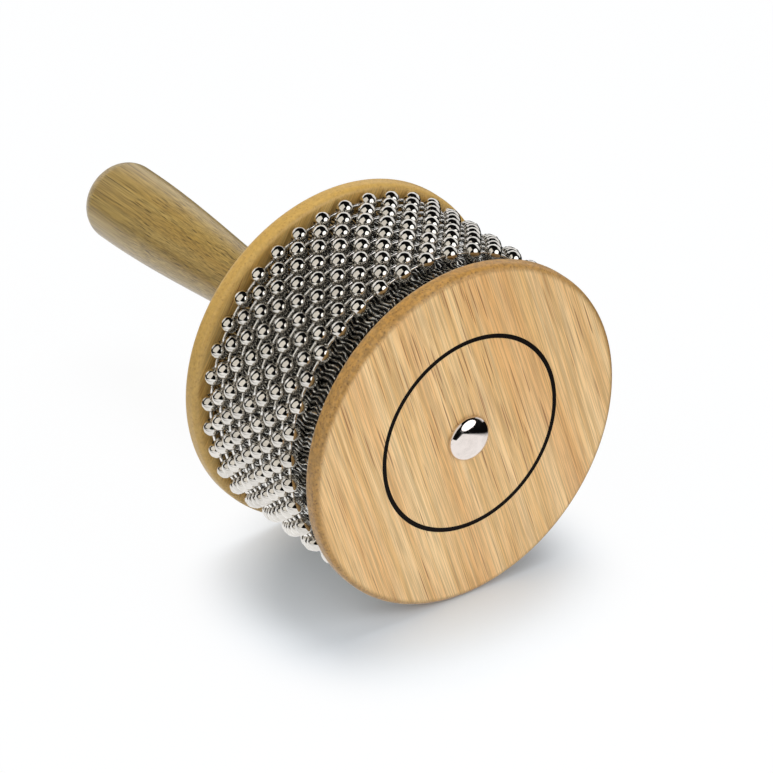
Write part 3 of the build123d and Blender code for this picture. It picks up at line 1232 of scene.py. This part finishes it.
    def strung(self, graph: Graph, points: Socket, shape: Socket, direction: Socket) -> Socket:
        """Put a shape on every point of the loop, with its Z axis along a direction."""
        turn = graph.node("FunctionNodeAlignRotationToVector", {"Vector": direction}, axis="Z")
        inputs = {"Points": points, "Instance": shape, "Rotation": turn.outputs[0]}
        return graph.node("GeometryNodeInstanceOnPoints", inputs).outputs[0]

    def bead(self, graph: Graph, given: Any) -> Socket:
        """Make one bead whose holes lie on its Z axis.

        Args:
            graph: The nodes to add to.
            given: The group's inputs.

        Returns:
            The bead's shape.
        """
        radius = given["Bead Radius"]
        ball = graph.node(
            "GeometryNodeMeshUVSphere", {"Segments": self.segments, "Rings": self.rings, "Radius": radius}
        )
        position = graph.node("GeometryNodeInputPosition").outputs[0]
        _, _, z = graph.separate(position)
        far = graph.math("DIVIDE", graph.math("ABSOLUTE", z), radius)
        pole = graph.math("GREATER_THAN", far, self.pole_reach)
        chord = graph.math("DIVIDE", given["Hole Radius"], radius)
        rim = graph.math("SQRT", graph.math("SUBTRACT", 1.0, graph.math("MULTIPLY", chord, chord)))
        bottom = graph.math("SUBTRACT", graph.math("MULTIPLY", rim, radius), given["Hole Depth"])
        sunk = graph.combine(0.0, 0.0, graph.math("MULTIPLY", graph.math("SIGN", z), bottom))
        holed = graph.node(
            "GeometryNodeSetPosition", {"Geometry": ball.outputs[0], "Selection": pole, "Position": sunk}
        )
        outside = graph.math("LESS_THAN", far, self.hole_reach)
        inputs = {"Geometry": holed.outputs[0], "Shade Smooth": outside}
        return graph.node("GeometryNodeSetShadeSmooth", inputs).outputs[0]

    def link(self, graph: Graph, given: Any) -> Socket:
        """Make one link, a rod along its Z axis from a bead's centre to the next.

        Args:
            graph: The nodes to add to.
            given: The group's inputs.

        Returns:
            The link's shape.
        """
        length = given["Link Length"]
        inputs = {"Vertices": self.link_sides, "Radius": given["Link Radius"], "Depth": length}
        rod = graph.node("GeometryNodeMeshCylinder", inputs)
        half = graph.math("MULTIPLY", length, 0.5)
        lifted = graph.node("GeometryNodeTransform", {"Geometry": rod.outputs[0]})
        graph.feed(lifted.inputs["Translation"], graph.combine(0.0, 0.0, half))
        inputs = {"Geometry": lifted.outputs[0], "Shade Smooth": rod.outputs["Side"]}
        return graph.node("GeometryNodeSetShadeSmooth", inputs).outputs[0]


@dataclass
class HiddenFittings:
    """The pieces inside, which keep the shape of their construction."""

    finishes: Finishes

    def build(self) -> None:
        """Dress each node inside."""
        dressed = {
            "drum_core": self.finishes.core_wood,
            "front_dowels": self.finishes.dowel_wood,
            "back_dowels": self.finishes.dowel_wood,
            "sleeve_nails": self.finishes.nail_steel,
            "handle_insert": self.finishes.insert_brass,
        }
        for node, material in dressed.items():
            shape = frame["nodes"][node]
            shape.data.materials.clear()
            shape.data.materials.append(material)
            log.info("%s is dressed in %s", node, material.name)


class LampShape(Enum):
    """Outlines of a studio lamp."""

    PANEL = "RECTANGLE"
    ROUND = "ELLIPSE"


@dataclass(frozen=True)
class Lamp:
    """A soft studio lamp, placed by angles from the camera's line of sight."""

    name: str
    right: float
    up: float
    distance: float
    size: tuple[float, float]
    power: float
    colour: tuple[float, float, float] = (1.0, 1.0, 1.0)
    outline: LampShape = LampShape.PANEL
    roll: float = 0.0
    mirrored: bool = True

    def build(self, target: Vector, sight: "Sight") -> bpy.types.Object:
        """Hang the lamp and aim it at the object.

        Args:
            target: The point that it shines at.
            sight: The camera's line of sight.

        Returns:
            The lamp.
        """
        light = bpy.data.lights.new(self.name, "AREA")
        light.shape = self.outline.value
        light.size, light.size_y = self.size
        light.energy = self.power
        light.color = self.colour
        lamp = bpy.data.objects.new(self.name, light)
        bpy.context.scene.collection.objects.link(lamp)
        away = sight.towards(self.right, self.up)
        lamp.location = target + away * self.distance
        aim = (-away).to_track_quat("-Z", "Y")
        lamp.rotation_euler = (aim @ Quaternion((0, 0, 1), math.radians(self.roll))).to_euler()
        lamp.visible_camera = False
        lamp.visible_glossy = self.mirrored
        return lamp


@dataclass(frozen=True)
class Sight:
    """Where the camera stands and how it looks at the object."""

    place: tuple[float, float, float] = (-0.88894, -1.25683, 0.93916)
    heading: float = -36.52
    elevation: float = 30.53
    lens: float = 248.12
    sensor: float = 36.0

    def axes(self) -> tuple[Vector, Vector, Vector]:
        """Give the directions to the camera, to its right and up."""
        heading, elevation = math.radians(self.heading), math.radians(self.elevation)
        level = math.cos(elevation)
        back = Vector((math.sin(heading) * level, -math.cos(heading) * level, math.sin(elevation)))
        right = Vector((math.cos(heading), math.sin(heading), 0.0))
        return back, right, back.cross(right)

    def towards(self, right: float, up: float) -> Vector:
        """Give a direction from the object, by angles from the direction to the camera.

        Args:
            right: Degrees to the right.
            up: Degrees upwards.

        Returns:
            A direction of length 1.
        """
        back, side, top = self.axes()
        across, rise = math.radians(right), math.radians(up)
        level = back * math.cos(across) + side * math.sin(across)
        return (level * math.cos(rise) + top * math.sin(rise)).normalized()

    def build(self) -> bpy.types.Object:
        """Make the camera."""
        lens = bpy.data.cameras.new("camera")
        lens.lens = self.lens
        lens.sensor_width = self.sensor
        lens.dof.use_dof = False
        camera = bpy.data.objects.new("camera", lens)
        camera.location = self.place
        camera.rotation_euler = (math.radians(90 - self.elevation), 0.0, math.radians(self.heading))
        bpy.context.scene.collection.objects.link(camera)
        bpy.context.scene.camera = camera
        return camera


@dataclass
class Studio:
    """A pale floor, soft lamps and a white background."""

    sight: Sight
    target: Vector
    floor_size: float = 12.0
    floor_colour: Colour = (0.79, 0.85, 0.92, 1.0)
    shade_middle: tuple[float, float] = (-0.011, -0.084)
    shade_fade: tuple[float, float] = (0.037, 0.078)
    shade_glow: tuple[float, float] = (0.0, 0.95)
    strip_middle: float = -0.015
    strip_fade: tuple[float, float] = (0.11, 0.15)
    path_way: tuple[float, float] = (-0.9, -0.436)
    path_fade: tuple[float, float] = (0.2, 0.26)
    ambient: float = 0.22
    dim: float = 0.004
    backdrop_rise: tuple[float, float] = (0.52, 0.66)
    backdrop_turn: tuple[float, float] = (0.2, 0.5)

    def build(self) -> None:
        """Make the floor, the lamps, the background and the camera."""
        self.floor()
        self.background()
        lamps = [lamp.build(self.target, self.sight) for lamp in self.lamps()]
        self.sight.build()
        bpy.context.scene.view_settings.view_transform = "Standard"
        log.info("the studio is lit by %d lamps", len(lamps))

    def lamps(self) -> list[Lamp]:
        """List the lamps."""
        softbox = Lamp(
            "left_softbox",
            right=-46.0,
            up=10.0,
            distance=1.3,
            size=(1.5, 2.9),
            power=11.4,
            colour=(1.0, 0.955, 0.875),
            roll=-15.0,
        )
        dish = Lamp(
            "right_dish",
            right=48.0,
            up=8.0,
            distance=1.3,
            size=(1.3, 1.2),
            power=7.0,
            outline=LampShape.ROUND,
        )
        fill = Lamp(
            "front_fill", right=-12.0, up=14.0, distance=1.6, size=(1.0, 1.0), power=3.9, mirrored=False
        )
        key = Lamp("top_key", right=4.0, up=72.0, distance=1.5, size=(0.8, 0.8), power=15.0, mirrored=False)
        return [softbox, dish, fill, key]

    def floor(self) -> bpy.types.Object:
        """Lay the floor, which keeps the object's shadow."""
        half = self.floor_size / 2
        mesh = bpy.data.meshes.new("studio_floor")
        edges = [(-half, -half, 0), (half, -half, 0), (half, half, 0), (-half, half, 0)]
        mesh.from_pydata(edges, [], [(0, 1, 2, 3)])
        floor = show("studio_floor", mesh)
        material = bpy.data.materials.new("Studio floor")
        material.use_nodes = True
        graph = Graph(material.node_tree)
        material.node_tree.nodes.remove(material.node_tree.nodes["Principled BSDF"])
        matt = graph.node("ShaderNodeBsdfDiffuse", {"Color": self.floor_colour})
        rays = graph.node("ShaderNodeLightPath").outputs
        x, y, _ = graph.separate(graph.node("ShaderNodeTexCoord").outputs["Object"])
        aside = graph.math("SUBTRACT", x, self.shade_middle[0])
        ahead = graph.math("SUBTRACT", y, self.shade_middle[1])
        out = graph.length(graph.combine(aside, ahead, 0.0))
        shown = graph.fade(out, *self.shade_fade, *self.shade_glow)
        straight = self.straight(graph, rays)
        # Painted light: in reflections the floor glows, white along a strip and along a path towards the
        # softbox, and dim elsewhere.
        share = graph.math("MAXIMUM", graph.math("MULTIPLY", straight, shown), rays["Is Glossy Ray"])
        across = graph.math("ABSOLUTE", graph.math("SUBTRACT", x, self.strip_middle))
        strip = graph.fade(across, *self.strip_fade, 1.0, self.dim)
        white = graph.math("MAXIMUM", strip, self.path(graph, aside, ahead))
        level = graph.math("MAXIMUM", straight, white)
        glow = graph.node("ShaderNodeEmission", {"Color": (1.0, 1.0, 1.0, 1.0), "Strength": level})
        mixed = graph.node("ShaderNodeMixShader", {0: share, 1: matt.outputs[0], 2: glow.outputs[0]})
        graph.feed(material.node_tree.nodes["Material Output"].inputs["Surface"], mixed.outputs[0])
        mesh.materials.append(material)
        return floor

    def straight(self, graph: Graph, rays: Any) -> Socket:
        """Pick the rays that the camera sees straight or through something clear."""
        return graph.math("MAXIMUM", rays["Is Camera Ray"], rays["Is Transmission Ray"])

    def path(self, graph: Graph, aside: Socket, ahead: Socket) -> Socket:
        """Mark the part of the floor that runs from the object towards the softbox, where the floor glows
        white in reflections as painted light.

        Args:
            graph: The nodes to add to.
            aside: The place on the floor along X, from the middle of the shade.
            ahead: The place on the floor along Y, from the middle of the shade.

        Returns:
            1 on that part and 0 elsewhere.
        """
        way_x, way_y = self.path_way
        forward = graph.math("MULTIPLY_ADD", aside, way_x, graph.math("MULTIPLY", ahead, way_y))
        sideways = graph.math("MULTIPLY_ADD", aside, way_y, graph.math("MULTIPLY", ahead, -way_x))
        near = graph.fade(graph.math("ABSOLUTE", sideways), *self.path_fade, 1.0, 0.0)
        return graph.math("MULTIPLY", near, graph.fade(forward, 0.0, self.path_fade[0]))

    def background(self) -> None:
        """Make the background white, and the room above it dark in reflections."""
        world = bpy.data.worlds.new("Studio room")
        bpy.context.scene.world = world
        world.use_nodes = True
        graph = Graph(world.node_tree)
        rays = graph.node("ShaderNodeLightPath").outputs
        direction = graph.node("ShaderNodeTexCoord").outputs["Generated"]
        _, _, height = graph.separate(direction)
        away = -self.sight.axes()[0]
        away.z = 0.0
        facing = graph.node(
            "ShaderNodeVectorMath", {0: direction, 1: tuple(away.normalized())}, operation="DOT_PRODUCT"
        ).outputs["Value"]
        low = graph.fade(height, *self.backdrop_rise, 1.0, 0.0)
        behind = graph.fade(facing, *self.backdrop_turn)
        backdrop = graph.math("MAXIMUM", graph.math("MULTIPLY", low, behind), self.dim)
        glossy = rays["Is Glossy Ray"]
        soft = graph.math("MULTIPLY", graph.math("SUBTRACT", 1.0, glossy), self.ambient)
        mirrored = graph.math("MULTIPLY", glossy, backdrop)
        level = graph.math("MAXIMUM", graph.math("ADD", soft, mirrored), self.straight(graph, rays))
        sky = world.node_tree.nodes["Background"]
        sky.inputs["Color"].default_value = (1.0, 1.0, 1.0, 1.0)
        graph.feed(sky.inputs["Strength"], level)


def corners(box: tuple[Vector, Vector]) -> list[list[float]]:
    """Give a box's lowest and highest corners as plain lists."""
    return [list(corner) for corner in box]


def main() -> None:
    """Build every piece in order."""
    logging.basicConfig(level=logging.INFO, format="%(name)s: %(message)s")
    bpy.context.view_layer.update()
    finishes = Finishes(SharedEffects(wood_grain_group(), handling_marks_group()))
    WoodenDisc("front_disc", finishes.front_board).build()
    WoodenDisc("back_disc", finishes.back_board).build()
    PrintedRing(finishes.ring_ink).build()
    DomedBolt(finishes.bolt_chrome).build()
    TurnedHandle(finishes.handle_wood).build()
    RibbedSleeve(finishes.sleeve_steel).build()
    BallChain(finishes.bead_nickel, finishes.link_nickel).build()
    HiddenFittings(finishes).build()
    drum_low, drum_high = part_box("drum_core")
    Studio(Sight(), (drum_low + drum_high) / 2).build()


if __name__ == "__main__":
    main()
